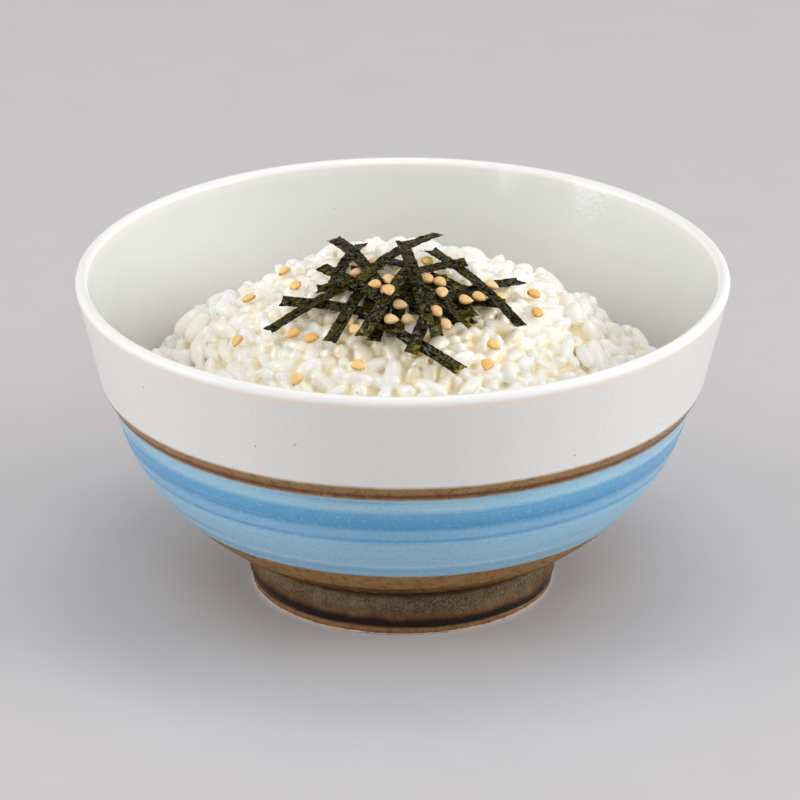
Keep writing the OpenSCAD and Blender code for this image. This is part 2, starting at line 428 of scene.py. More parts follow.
@dataclass(frozen=True)
class CookedRice:
    """Moist white rice that light goes through, with painted warm shade in its gaps, its creases and under
    the strips, and the odd brown fleck.
    """

    scatter: float = 0.0012

    def material(self) -> bpy.types.Material:
        """Builds the rice."""
        g = Graph("cooked_rice")
        spot = g.place()
        depth = g.attribute("rice_gap_shade")
        cover = g.attribute("rice_cover_shade")
        crease = g.attribute("rice_crease_shade")
        tone = g.noise(spot, 150, 2)
        haze = g.noise(spot, 420, 3)
        fleck = g.noise(spot, 640, 0).step(0.85, 0.87)
        colour = g.layers(
            g.mix(srgb(255, 249, 236), srgb(255, 254, 248), tone.step(0.35, 0.65)),
            [
                ((254, 242, 216), haze.step(0.5, 0.8), 0.3),
                # Painted shade: the deeper a point lies between grains, the warmer and darker its cream.
                ((254, 236, 196), depth.step(0.3, 0.9), 0.7),
                # Painted shade: warmer, darker cream in the creases between grains.
                ((255, 232, 182), crease.step(0.15, 1.0), 0.65),
                # Painted shade: deeper amber in the deepest gaps.
                ((250, 216, 152), depth.step(0.8, 1.0), 0.6),
                # Painted shade: amber cream under the nori strips.
                ((246, 214, 152), cover.step(0.35, 1.0), 0.35),
                ((160, 108, 52), fleck, 0.7),
            ],
        )
        relief = g.noise(spot, 1100, 2)
        return g.finish(
            Base_Color=colour,
            Roughness=0.14 + haze * 0.12,
            Normal=g.bump(relief, 0.00006),
            Subsurface_Weight=0.4,
            Subsurface_Radius=(1.0, 1.0, 1.0),
            Subsurface_Scale=self.scatter,
            IOR=1.4,
            Coat_Weight=0.5,
            Coat_Roughness=0.08,
        )


@dataclass(frozen=True)
class DriedNori:
    """Pressed seaweed: black-green fibre, yellower towards its ends, with dull glints on its wrinkles."""

    def material(self) -> bpy.types.Material:
        """Builds the seaweed."""
        g = Graph("dried_nori")
        spot = g.place()
        tip = g.attribute("strip_end")
        web = g.noise(spot, 780, 4, 0.65)
        fibre = g.noise(spot, 2100, 3, 0.6)
        olive = g.noise(spot, 330, 3).step(0.50, 0.66)
        yellow = g.noise(spot, 560, 2).step(0.60, 0.70)
        colour = g.layers(
            g.mix(srgb(1, 1, 0), srgb(58, 53, 22), web.step(0.43, 0.62)),
            [
                ((92, 85, 44), fibre.step(0.52, 0.70), 0.65),
                ((100, 88, 12), olive, 0.12 + tip * 0.62),
                ((170, 148, 14), yellow, 0.08 + tip * 0.75),
            ],
        )
        glint = g.noise(spot, 1500, 2).step(0.47, 0.59)
        relief = web * 0.6 + fibre * 0.4
        return g.finish(
            Base_Color=colour,
            Roughness=0.6,
            Normal=g.bump(relief, 0.0008),
            Specular_IOR_Level=0.0,
            Coat_Weight=glint,
            Coat_Roughness=0.25,
        )


@dataclass(frozen=True)
class ToastedSesame:
    """Hulled sesame, cream to gold, browner at the tip, and at the rim both browner from toasting and
    darkened as painted shade.
    """

    name: str
    pale: tuple
    gold: tuple
    tip: tuple

    def material(self) -> bpy.types.Material:
        """Builds the seed coat."""
        g = Graph(self.name)
        spot = g.place()
        tone = g.attribute("seed_tone")
        along = g.attribute("seed_along")
        rim = g.attribute("seed_rim_toast_and_shade")
        toast = g.noise(spot, 700, 3)
        colour = g.layers(
            g.mix(srgb(*self.pale), srgb(*self.gold), tone * 0.6 + toast * 0.5),
            # The rim: browner from toasting, with painted shade where the seed's sides turn away. The tip:
            # browner from toasting.
            [(self.tip, rim.step(0.78, 1.0), 0.35), (self.tip, along.step(0.86, 1.0), 0.8)],
        )
        relief = g.noise(spot, 2300, 2)
        return g.finish(
            Base_Color=colour,
            Roughness=0.28 + toast * 0.2,
            Normal=g.bump(relief, 0.00005),
            Subsurface_Weight=0.3,
            Subsurface_Radius=(1.0, 0.6, 0.3),
            Subsurface_Scale=0.0008,
        )


@dataclass(frozen=True)
class StudioFloor:
    """The plain pale grey ground."""

    def material(self) -> bpy.types.Material:
        """Builds the ground's paint."""
        g = Graph("studio_floor")
        spot = g.place()
        cloud = g.noise(spot, 60, 4)
        colour = g.mix(srgb(199, 196, 197), srgb(205, 202, 203), cloud)
        return g.finish(Base_Color=colour, Roughness=0.7)


# Mesh helpers


def new_piece(
    name: str,
    points: np.ndarray,
    faces: Sequence[Sequence[int]],
    materials: Sequence[bpy.types.Material],
    wears: Optional[np.ndarray] = None,
) -> bpy.types.Object:
    """Makes a smooth mesh object.

    Args:
        name: the piece's name.
        points: its vertices, in millimetres.
        faces: vertex numbers of each face.
        materials: its materials.
        wears: the number of the material of each face, or None for the first.

    Returns:
        The linked object.
    """
    mesh = bpy.data.meshes.new(name)
    mesh.from_pydata((np.asarray(points) * MM).tolist(), [], [list(map(int, f)) for f in faces])
    for material in materials:
        mesh.materials.append(material)
    mesh.polygons.foreach_set("use_smooth", np.ones(len(mesh.polygons), bool))
    if wears is not None:
        mesh.polygons.foreach_set("material_index", np.asarray(wears, np.int32))
    mesh.update()
    made = bpy.data.objects.new(name, mesh)
    bpy.context.scene.collection.objects.link(made)
    return made


def store(piece: bpy.types.Object, name: str, values: np.ndarray) -> None:
    """Keeps one number for each vertex on the mesh."""
    kept = piece.data.attributes.new(name, "FLOAT", "POINT")
    kept.data.foreach_set("value", np.asarray(values, np.float32).ravel())


def read(rows: Sequence, name: str, width: int = 1, kind: type = np.float32) -> np.ndarray:
    """One property of every row of a mesh, such as its vertices, as rows of that width."""
    found = np.empty(len(rows) * width, kind)
    rows.foreach_get(name, found)
    return found.reshape(-1, width)


def place(piece: bpy.types.Object, body: Body, slot: Slot, node: str) -> None:
    """Lets a piece ride on a body and stand for its CAD node, which it hides."""
    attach(piece, body.value)
    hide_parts(node)
    log.info("%s: %d faces, on %s, for %s", piece.name, len(piece.data.polygons), body.value, node)


def arc(centre: Sequence[float], radius: float, start: float, end: float, steps: int) -> np.ndarray:
    """Points of an arc from start to end, both in degrees, as rows of radius and height."""
    turn = np.radians(np.linspace(start, end, steps + 1))
    return np.stack([centre[0] + radius * np.cos(turn), centre[1] + radius * np.sin(turn)], 1)


def run(first: Sequence[float], last: Sequence[float], steps: int) -> np.ndarray:
    """Points of a straight line, both ends with it."""
    share = np.linspace(0, 1, steps + 1)[:, None]
    return np.asarray(first, float) * (1 - share) + np.asarray(last, float) * share


def spin(profile: np.ndarray, turns: int) -> np.ndarray:
    """Vertices of a profile, rows of radius and height, that is turned about the axis: one ring a row."""
    angle = np.arange(turns) * 2 * math.pi / turns
    across, high = profile[:, 0, None], np.repeat(profile[:, 1, None], turns, 1)
    return np.stack([across * np.cos(angle), across * np.sin(angle), high], 2).reshape(-1, 3)


def lathe(profile: np.ndarray, turns: int) -> tuple[np.ndarray, list, np.ndarray]:
    """Turns a profile that starts and ends on the axis.

    Args:
        profile: rows of radius and height, the first and last on the axis.
        turns: vertices around.

    Returns:
        The vertices, the faces, and for each face the number of the profile's step that made it.
    """
    inner = profile[1:-1]
    ends = [[0, 0, profile[0, 1]], [0, 0, profile[-1, 1]]]
    points = np.concatenate([spin(inner, turns), ends])
    count = len(inner)
    first, last = count * turns, count * turns + 1
    faces, made_by = [], []
    for i in range(turns):
        j = (i + 1) % turns
        faces.append((first, j, i))
        made_by.append(0)
        for k in range(count - 1):
            a, b = k * turns, (k + 1) * turns
            faces.append((a + i, a + j, b + j, b + i))
            made_by.append(k + 1)
        faces.append((last, (count - 1) * turns + i, (count - 1) * turns + j))
        made_by.append(count)
    return points, faces, np.array(made_by)


def hoop(profile: np.ndarray, turns: int) -> tuple[np.ndarray, list]:
    """Turns a closed profile, rows of radius and height, into a ring: its vertices and its faces."""
    count = len(profile)
    faces = []
    for k in range(count):
        a, b = k * turns, (k + 1) % count * turns
        for i in range(turns):
            j = (i + 1) % turns
            faces.append((a + i, a + j, b + j, b + i))
    return spin(profile, turns), faces


def ball_faces(rings: int, sides: int) -> list[tuple]:
    """Faces of a ball whose vertices are its rings, then the pole by the first ring and by the last."""
    first, last = rings * sides, (rings - 1) * sides
    faces = []
    for k in range(sides):
        n = (k + 1) % sides
        faces.append((first, k, n))
        for a in range(0, last, sides):
            faces.append((a + k, a + sides + k, a + sides + n, a + n))
        faces.append((first + 1, last + n, last + k))
    return faces


def copies(faces: Sequence[tuple], each: int, count: int) -> list[tuple]:
    """Faces of a number of equal pieces, one after the other, that have so many vertices each."""
    return [tuple(k * each + corner for corner in face) for k in range(count) for face in faces]


def melt(
    solids: Sequence[tuple[np.ndarray, list]], cell: float, rounds: int
) -> tuple[np.ndarray, np.ndarray]:
    """Melts closed solids that overlap into one skin.

    Args:
        solids: the vertices, in millimetres, and the faces of each solid.
        cell: size of the cells that the skin is drawn in, in millimetres.
        rounds: how often the skin is smoothed.

    Returns:
        The skin's vertices, in millimetres, and the four corners of each of its faces.
    """
    faces, count = [], 0
    for points, corners in solids:
        faces += [tuple(count + corner for corner in face) for face in corners]
        count += len(points)
    raw = new_piece("raw_solids", np.concatenate([points for points, _ in solids]), faces, [])
    remesh = raw.modifiers.new("remesh", "REMESH")
    remesh.mode = "VOXEL"
    remesh.voxel_size = cell * MM
    ease = raw.modifiers.new("ease", "SMOOTH")
    ease.iterations = rounds
    solved = raw.evaluated_get(bpy.context.evaluated_depsgraph_get())
    skin = solved.to_mesh()
    points = read(skin.vertices, "co", 3).astype(float) / MM
    corners = read(skin.loops, "vertex_index", 1, np.int32).reshape(-1, 4)
    solved.to_mesh_clear()
    mesh = raw.data
    bpy.data.objects.remove(raw)
    bpy.data.meshes.remove(mesh)
    return points, corners


def waves(points: np.ndarray, count: int, shortest: float, longest: float, seed: int) -> np.ndarray:
    """Random smooth noise of about unit strength.

    Args:
        points: where to read it, in millimetres.
        count: number of waves that are added up.
        shortest: the shortest wave length.
        longest: the longest wave length.
        seed: of the random draw.

    Returns:
        One number for each point.
    """
    draw = np.random.default_rng(seed)
    heading = draw.normal(size=(count, points.shape[1]))
    heading /= np.linalg.norm(heading, axis=1, keepdims=True)
    length = shortest * (longest / shortest) ** draw.random(count)
    phase = draw.random(count) * 2 * math.pi
    turns = points @ (heading * (2 * math.pi / length)[:, None]).T + phase
    return np.sin(turns).sum(1) * math.sqrt(2 / count)


# The bowl


@dataclass
class Bowl:
    """The glazed bowl, with the driving sizes of the CAD solid and the traces of its making."""

    # The sizes of the solid
    rim_d: float = 151
    bowl_h: float = 76
    wall_flare: float = 5.5
    shoulder_h: float = 52
    wall_t: float = 2.8
    floor_h: float = 13
    foot_top_d: float = 72
    foot_base_d: float = 70
    foot_h: float = 10.5
    foot_ring_w: float = 4.5
    foot_chamfer: float = 0.7
    recess_h: float = 7
    recess_taper: float = 1
    glaze_roll_h: float = 4
    glaze_roll_out: float = 0.35
    glaze_roll_w: float = 1.1
    recess_round: float = 1.5
    # The soft corner under the wall, the throwing rings over the foot and the sway of the rim
    keel: float = 1.25
    keel_h: float = 6
    thrown: float = 0.09
    thrown_pitch: float = 1.35
    thrown_h: float = 2.8
    thrown_w: float = 2.4
    sways: tuple = ((0.16, 2, 0.7), (0.09, 3, 2.1), (0.05, 7, 0.0))
    turns: int = 224

    def __post_init__(self) -> None:
        """Works out the straight wall and the two arcs of the belly."""
        self.lip_r = self.wall_t / 2
        self.lip_c = np.array([self.rim_d / 2 - self.lip_r, self.bowl_h - self.lip_r])
        self.shoulder = np.array([self.rim_d / 2 - self.wall_flare, self.shoulder_h])
        lean = self.lip_c - self.shoulder
        self.wall_a = math.atan2(lean[0], lean[1]) + math.asin(self.lip_r / math.hypot(*lean))
        self.out = np.array([math.cos(self.wall_a), -math.sin(self.wall_a)])
        foot_top = np.array([self.foot_top_d / 2, self.foot_h])
        belly = self.shoulder - foot_top
        self.belly_r = belly @ belly / (2 * (belly @ self.out))
        self.belly_c = self.shoulder - self.belly_r * self.out
        self.inner_shoulder = self.shoulder - self.wall_t * self.out
        self.inner_r = (self.inner_shoulder[1] - self.floor_h) / (1 - math.sin(self.wall_a))
        self.inner_c = self.inner_shoulder - self.inner_r * self.out

    def outside(self) -> np.ndarray:
        """Profile from the ground face up the foot, belly and wall to the top of the lip."""
        base = self.foot_base_d / 2
        top = np.array([self.foot_top_d / 2, self.foot_h])
        tilt = math.degrees(self.wall_a)
        start = math.degrees(math.atan2(*(top - self.belly_c)[::-1]))
        edge = arc((base - self.foot_chamfer, self.foot_chamfer), self.foot_chamfer, -90, 0, 5)
        foot = run((base, self.foot_chamfer), top, 34)[1:]
        roll = np.exp(-(((foot[:, 1] - self.glaze_roll_h) / self.glaze_roll_w) ** 2))
        foot[:, 0] += self.glaze_roll_out * roll
        belly = arc(self.belly_c, self.belly_r, start, -tilt, 96)[1:]
        below = (self.shoulder_h - belly[:, 1]) / self.keel_h
        belly[:, 0] -= self.keel * below**2 * np.exp(2 - 2 * below)
        over = belly[:, 1] - self.foot_h
        near = np.exp(-(((over - self.thrown_h) / self.thrown_w) ** 2))
        belly[:, 0] += self.thrown * np.sin(over * 2 * math.pi / self.thrown_pitch) * near
        wall = run(self.shoulder, self.lip_c + self.lip_r * self.out, 30)[1:]
        lip = arc(self.lip_c, self.lip_r, -tilt, 90, 10)[1:]
        return np.concatenate([edge, foot, belly, wall, lip])

    def inside(self, gap: float = 0.0) -> np.ndarray:
        """Profile from the top of the lip down the inside to the axis, drawn in by gap."""
        tilt = math.degrees(self.wall_a)
        lip = arc(self.lip_c, self.lip_r, 90, 180 - tilt, 10)[1:]
        wall = run(self.lip_c - self.lip_r * self.out, self.inner_shoulder, 20)[1:]
        belly = arc(self.inner_c, self.inner_r - gap, -tilt, -90, 60)[1:]
        floor = run((self.inner_c[0], self.floor_h + gap), (0, self.floor_h + gap), 6)[1:]
        return np.concatenate([lip, wall, belly, floor])

    def underside(self) -> np.ndarray:
        """Profile from the axis through the recess to the inner edge of the ground face."""
        low = self.foot_base_d / 2 - self.foot_ring_w - 2 * self.foot_chamfer
        high = low - self.recess_taper
        inner = high - self.recess_round
        corner = arc((inner, self.recess_h - self.recess_round), self.recess_round, 90, 5, 6)
        chamfer = arc((low + self.foot_chamfer, self.foot_chamfer), self.foot_chamfer, 180, 270, 5)
        flat = run((0, self.recess_h), (inner, self.recess_h), 6)
        return np.concatenate([flat, corner[1:], run(corner[-1], chamfer[0], 6)[1:], chamfer[1:]])

    def make(self) -> None:
        """Turns the bowl, lets its wall sway as thrown clay does, and glazes it."""
        under, outer, inner = self.underside(), self.outside(), self.inside()
        profile = np.concatenate([under, outer, inner])
        points, faces, made_by = lathe(profile, self.turns)
        high = np.clip((points[:, 2] - self.foot_h) / (self.bowl_h - self.foot_h), 0, 1)
        turn = np.arctan2(points[:, 1], points[:, 0])
        sway = sum(size * np.sin(count * turn + phase) for size, count, phase in self.sways)
        points[:, :2] *= (1 + (sway * high / (self.rim_d / 2)))[:, None]
        coat = np.repeat(np.arange(4), (len(under) - 1, 1, len(outer) - 1, len(inner) + 1))
        finishes = (FootGlaze(), BareClay(), OutsideGlaze(self.bowl_h), InsideGlaze(self.bowl_h))
        bowl = new_piece(
            "glazed_bowl",
            points,
            faces,
            [finish.material() for finish in finishes],
            coat[np.clip(made_by, 0, len(coat) - 1)],
        )
        place(bowl, Body.BOWL, Slot.STONEWARE, "bowl")


# The rice


@dataclass
class RiceHeap:
    """Cooked grains that stick to each other, settled over pressed rice inside the bowl."""

    bowl: Bowl
    seats: np.ndarray
    spines: np.ndarray
    # The heap
    top_h: float = 79
    edge_h: float = 46
    gap: float = 0.35
    zones: tuple = (("inner", 0, 25), ("middle", 25, 45), ("outer", 45, 80))
    # One grain, and how much grains differ
    grain_r: float = 1.95
    grain_l: float = 4.2
    girths: tuple = (0.88, 1.12)
    lengths: tuple = (0.6, 1.2)
    # The layers of grains, and the pressed rice that they stick in
    on_top: int = 1250
    on_wall: int = 600
    top_layer: float = 7.0
    wall_layer: float = 3.9
    bed_depth: float = 2.9
    crust_t: float = 6.0
    lap: float = 1.5
    # How grains stand in the top layer
    edge_gap: float = 1.5
    sunk: float = -0.6
    stand: float = 0.5
    proud: float = 3.0
    loose: float = 1.3
    upright: float = 1.4
    flatten: float = 0.92
    # The swell of the heap, and its calm under strips and seeds
    heaves: tuple = ((0.9, 30, 9, 24, 21), (0.7, 24, 24, 60, 22))
    heave_range: tuple = (-2.4, 2.0)
    shoulder: tuple = (-54.0, 2.0)
    shoulder_h: float = 2.8
    shoulder_r: float = 17.0
    sink: float = 1.1
    edge_drop: float = 1.6
    edge_power: int = 8
    calm_reach: float = 3.2
    dip: float = 0.35
    # The settling
    seed: int = 4
    rounds: int = 90
    look_again: int = 5
    squeeze: float = 0.9
    steady: float = 0.15
    bury: float = 0.97
    pull: float = 0.5
    # The skin, and what is kept on it
    rings: int = 8
    sides: int = 12
    cell: float = 0.45
    wall_cell: float = 0.72
    smoothing: int = 1
    crease_depth: float = 0.08
    wall_skin: float = 0.6
    gap_shade_depth: tuple = (-1, 3)
    bake_fill: float = 0.96

    def __post_init__(self) -> None:
        """Works out the heap's curve, and where strips lie on it."""
        drop = self.bowl.inner_c[1] - self.edge_h
        self.edge_r = self.bowl.inner_c[0] + math.sqrt(self.bowl.inner_r**2 - drop**2) - self.gap
        self.curve = (self.top_h - self.edge_h) / self.edge_r**2
        self.draw = np.random.default_rng(self.seed)
        self.laid = KDTree(len(self.spines))
        for number, (x, y, _) in enumerate(self.spines):
            self.laid.insert((x, y, 0), number)
        self.laid.balance()

    def cover(self, points: np.ndarray) -> np.ndarray:
        """1 under a strip, fading to 0 away from it."""
        apart = np.array([self.laid.find((x, y, 0))[2] for x, y in points[:, :2]])
        return np.exp(-((apart / self.calm_reach) ** 2))

    def seated(self, points: np.ndarray) -> np.ndarray:
        """1 under a seed, fading to 0 away from it."""
        apart = points[:, None, :2] - self.seats[None, :, :2]
        return np.exp(-(apart**2).sum(2) / self.calm_reach**2).max(1)

    def clumps(self, points: np.ndarray) -> np.ndarray:
        """How far the surface stands over or under the plain heap at each point."""
        bumpy = sum(size * waves(points[:, :2], *wave) for size, *wave in self.heaves)
        cover = self.cover(points)
        calm = np.maximum(cover, self.seated(points))
        apart = np.linalg.norm(points[:, :2] - np.array(self.shoulder), axis=1)
        ring = np.linalg.norm(points[:, :2], axis=1)
        heave = self.shoulder_h * np.exp(-((apart / self.shoulder_r) ** 2)) - self.sink
        heave -= self.edge_drop * (ring / self.edge_r) ** self.edge_power
        return (np.clip(bumpy, *self.heave_range) + heave) * (1 - calm) - self.dip * cover

    def under_top(self, points: np.ndarray) -> tuple[np.ndarray, np.ndarray]:
        """Depth of each point under the heap's surface, and the way out of it."""
        ring = np.linalg.norm(points[:, :2], axis=1)
        slope = 2 * self.curve * ring
        level = self.top_h - self.curve * ring**2 + self.clumps(points)
        tilt = 1 / np.sqrt(1 + slope**2)
        way = np.concatenate([points[:, :2] * 2 * self.curve, np.ones((len(points), 1))], 1) * tilt[:, None]
        return (level - points[:, 2]) * tilt, way

    def off_wall(self, points: np.ndarray) -> tuple[np.ndarray, np.ndarray]:
        """Distance of each point from the inside of the bowl, and the way to the wall."""
        ring = np.linalg.norm(points[:, :2], axis=1)
        spoke = points[:, :2] / np.maximum(ring, 1e-6)[:, None]
        across = np.maximum(ring - self.bowl.inner_c[0], 0)
        down = points[:, 2] - self.bowl.inner_c[1]
        reach = np.maximum(np.hypot(across, down), 1e-6)
        way = np.concatenate([spoke * (across / reach)[:, None], (down / reach)[:, None]], 1)
        return self.bowl.inner_r - self.gap - reach, way

    def drop_on_top(self) -> tuple[np.ndarray, np.ndarray]:
        """Drops grains into the top layer at random, the first ones under seeds: middles and ways out."""
        draw = self.draw
        held = len(self.seats)
        ring = (self.edge_r - self.edge_gap) * np.sqrt(draw.random(self.on_top))
        turn = draw.random(self.on_top) * 2 * math.pi
        sink = draw.uniform(self.grain_r, self.top_layer - self.grain_r, self.on_top)
        sink[:held] = self.grain_r
        middle = np.stack([ring * np.cos(turn), ring * np.sin(turn), np.zeros(self.on_top)], 1)
        middle[:held, :2] = self.seats[:, :2]
        depth, way = self.under_top(middle)
        middle[:, 2] += depth / way[:, 2]
        return middle - way * sink[:, None], way

    def drop_on_wall(self) -> tuple[np.ndarray, np.ndarray]:
        """Drops grains along the inside of the bowl, evenly over its area: middles and ways to the wall."""
        profile = self.bowl.inside(self.gap)
        profile = profile[profile[:, 1] < self.edge_h - 1]
        size = np.hypot(*np.diff(profile, axis=0).T) * (profile[1:, 0] + profile[:-1, 0])
        share = np.concatenate([[0], np.cumsum(size)]) / size.sum()
        along = self.draw.random(self.on_wall)
        turn = self.draw.random(self.on_wall) * 2 * math.pi
        ring = np.interp(along, share, profile[:, 0])
        high = np.interp(along, share, profile[:, 1])
        middle = np.stack([ring * np.cos(turn), ring * np.sin(turn), high], 1)
        middle -= self.off_wall(middle)[1] * self.grain_r
        return middle, self.off_wall(middle)[1]

    def scatter(self) -> tuple[np.ndarray, np.ndarray]:
        """Drops all grains and turns them at random: the two ends of each grain's core line."""
        draw = self.draw
        middle, out = map(np.concatenate, zip(self.drop_on_top(), self.drop_on_wall()))
        count = len(middle)
        flat = np.arange(count) >= self.on_top
        flat[: len(self.seats)] = True
        heading = draw.normal(size=middle.shape)
        rise = (heading * out).sum(1)[:, None] * out
        heading += rise * np.where(flat, -self.flatten, self.upright - 1)[:, None]
        heading /= np.linalg.norm(heading, axis=1, keepdims=True)
        free = 1 - np.maximum(self.cover(middle), self.seated(middle))
        stand = np.clip(draw.normal(self.stand, self.loose, count), self.sunk, self.proud)
        self.stick = stand * free * ~flat
        self.length = self.grain_l * draw.uniform(*self.lengths, count)
        self.thick = self.grain_r * draw.uniform(*self.girths, count)
        half = heading * (self.length / 2)[:, None]
        return middle - half, middle + half

    def pairs(self, middle: np.ndarray) -> tuple[np.ndarray, np.ndarray]:
        """The grains that are near each other."""
        tree = KDTree(len(middle))
        for i, point in enumerate(middle):
            tree.insert(point, i)
        tree.balance()
        reach = self.grain_l * 1.1 + 2.2 * self.grain_r
        near = [
            (i, j)
            for i, point in enumerate(middle)
            for _, j, _ in tree.find_range(point, reach)
            if j > i
        ]
        return tuple(np.array(near, np.int64).T)

    @staticmethod
    def closest(
        a: np.ndarray, u: np.ndarray, b: np.ndarray, v: np.ndarray
    ) -> tuple[np.ndarray, np.ndarray]:
        """Where two lines a + s u and b + t v come closest, s and t from 0 to 1."""
        apart = a - b
        uu, vv, uv = (u * u).sum(1), (v * v).sum(1), (u * v).sum(1)
        ua, va = (u * apart).sum(1), (v * apart).sum(1)
        s = np.clip((uv * va - ua * vv) / np.maximum(uu * vv - uv**2, 1e-9), 0, 1)
        t = np.clip((uv * s + va) / vv, 0, 1)
        return np.clip((uv * t - ua) / uu, 0, 1), t

    def push_apart(self, start: np.ndarray, end: np.ndarray, i: np.ndarray, j: np.ndarray) -> None:
        """Moves the ends of the grains, in place, so that grains i and j overlap less."""
        core = end - start
        s, t = self.closest(start[i], core[i], start[j], core[j])
        gap = start[i] + s[:, None] * core[i] - start[j] - t[:, None] * core[j]
        far = np.maximum(np.linalg.norm(gap, axis=1), 1e-6)
        deep = self.squeeze * (self.thick[i] + self.thick[j]) - far
        hit = deep > 0
        push = gap[hit] / far[hit][:, None] * (deep[hit] / 2)[:, None]
        count = len(start)
        moves = np.zeros_like(start), np.zeros_like(end)
        met = np.zeros(count)
        for grain, share, force in ((i[hit], s[hit], push), (j[hit], t[hit], -push)):
            for move, part in zip(moves, (1 - share, share)):
                for axis in range(3):
                    move[:, axis] += np.bincount(grain, part * force[:, axis], count)
            met += np.bincount(grain, minlength=count)
        ease = (2.0 / np.maximum(met, 2.0))[:, None]
        ease[: len(self.seats)] *= self.steady
        start += moves[0] * ease
        end += moves[1] * ease

    def keep_in(self, tip: np.ndarray, top: np.ndarray) -> None:
        """Brings ends of grains, in place, back into the bowl and their own layer."""
        depth, way = self.under_top(tip)
        tip += way * np.minimum(depth - self.thick * self.bury + self.stick, 0)[:, None]
        slack = np.maximum(depth - (self.top_layer - self.thick), 0)
        tip += way * (slack * top * self.pull)[:, None]
        off, way = self.off_wall(tip)
        tip += way * np.minimum(off - self.thick, 0)[:, None]
        slack = np.maximum(off - (self.wall_layer - self.thick), 0)
        tip += way * (slack * ~top * self.pull)[:, None]

    def settle(self) -> None:
        """Pushes overlapping grains apart until they lie side by side within their layer."""
        start, end = self.scatter()
        top = np.arange(len(start)) < self.on_top
        for turn in range(self.rounds):
            if turn % self.look_again == 0:
                near = self.pairs((start + end) / 2)
            self.push_apart(start, end, *near)
            for tip in (start, end):
                self.keep_in(tip, top)
            middle, core = (start + end) / 2, end - start
            core *= (self.length / np.maximum(np.linalg.norm(core, axis=1), 1e-6))[:, None] / 2
            start, end = middle - core, middle + core
        self.middle, self.core = (start + end) / 2, (end - start) / 2

    def shape(self, chosen: np.ndarray) -> np.ndarray:
        """Points of the chosen grains, as grain by vertex by axis, from shares of each grain's size."""
        draw = np.random.default_rng(self.seed + len(chosen))
        n = len(chosen)
        polar = math.pi * (np.arange(self.rings) + 0.5) / self.rings
        turn = 2 * math.pi * np.arange(self.sides) / self.sides
        x = np.sign(np.cos(polar)) * np.abs(np.cos(polar)) ** 0.88
        r = np.sin(polar) ** 0.72
        x = np.concatenate([np.repeat(x, self.sides), [1.0, -1.0]])
        r = np.concatenate([np.repeat(r, self.sides), [0.0, 0.0]])
        psi = np.concatenate([np.tile(turn, self.rings), [0.0, 0.0]])

        def one(low: float, high: float) -> np.ndarray:
            """One random number for each grain."""
            return draw.uniform(low, high, n)[:, None]

        half = (self.length[chosen] / 2 + self.thick[chosen])[:, None]
        width = self.thick[chosen][:, None]
        fat = 1 + one(-0.14, 0.14) * x - one(0.0, 0.16) * np.abs(x) ** 3
        lump = 0.05 * np.sin(2 * psi + one(0, 6.3) + one(-3, 3) * x) + 0.035 * np.sin(3 * psi + one(0, 6.3))
        germ = one(0.0, 0.30) * np.exp(-(((x - 0.82) / 0.24) ** 2))
        notch = germ * np.exp(-3 * (1 - np.cos(psi - one(0, 6.3))))
        radius = width * r * fat * (1 + lump - notch)
        bend = one(-0.42, 0.42) * (x**2 - 0.35)
        local_x = half * x * (1 - 0.05 * notch)
        local_y = radius * np.cos(psi) * one(0.98, 1.1) + bend
        local_z = radius * np.sin(psi) * one(0.84, 1.0)
        along = self.core[chosen] / np.linalg.norm(self.core[chosen], axis=1, keepdims=True)
        side = np.cross(along, draw.normal(size=(n, 3)))
        side /= np.linalg.norm(side, axis=1, keepdims=True)
        up = np.cross(along, side)
        return (
            self.middle[chosen][:, None]
            + local_x[..., None] * along[:, None]
            + local_y[..., None] * side[:, None]
            + local_z[..., None] * up[:, None]
        )

    def grains(self, chosen: np.ndarray) -> tuple[np.ndarray, list]:
        """Vertices and faces of the chosen grains, each closed in itself."""
        points = self.shape(chosen)
        one = ball_faces(self.rings, self.sides)
        return points.reshape(-1, 3), copies(one, points.shape[1], len(chosen))

    def wall_level(self, ring: np.ndarray, gap: float) -> np.ndarray:
        """Height of the inside of the bowl, drawn in by gap, at each radius."""
        inside = self.bowl.inside(gap)[::-1]
        return np.interp(ring, inside[:, 0], inside[:, 1])

    def crust(self, low: float, high: float) -> tuple[np.ndarray, list]:
        """A ring of pressed rice that the grains from radius low to radius high stick in."""
        ring = np.linspace(min(high, self.edge_r), max(low, 0.2), 48)
        top = self.top_h - self.bed_depth - self.curve * ring**2
        bottom = np.maximum(top - self.crust_t, self.wall_level(ring, self.gap + self.lap))
        kept = top - bottom > 1
        upper, lower = np.stack([ring, top], 1)[kept], np.stack([ring, bottom], 1)[kept]
        points, faces = hoop(np.concatenate([upper, lower[::-1]]), 200)
        points[:, 2] += self.clumps(points)
        floor = self.wall_level(np.linalg.norm(points[:, :2], axis=1), self.gap)
        points[:, 2] = np.maximum(points[:, 2], floor)
        return points, faces

    def core_block(self) -> tuple[np.ndarray, list]:
        """The pressed rice under the crust, down to the bowl."""
        inset = self.grain_r
        reach = self.edge_r - 2 * inset
        ring = np.linspace(0, reach, 40)
        top = np.stack([ring, self.top_h - self.bed_depth - self.crust_t / 2 - self.curve * ring**2], 1)
        below = self.bowl.inside(self.gap + inset)
        below = below[(below[:, 1] < top[-1, 1] - 0.5) & (below[:, 0] < reach)]
        points, faces, _ = lathe(np.concatenate([below[::-1], top[::-1]]), 160)
        return points, faces

    def creases(self, piece: bpy.types.Object, points: np.ndarray, faces: np.ndarray) -> np.ndarray:
        """How far each point of a skin lies in a crease between grains, from 0 to 1."""
        normals = read(piece.data.vertex_normals, "vector", 3)
        a = np.concatenate([faces[:, k] for k in range(4)])
        b = np.concatenate([faces[:, (k + 1) % 4] for k in range(4)])
        near = np.maximum(np.bincount(a, minlength=len(points)), 1)

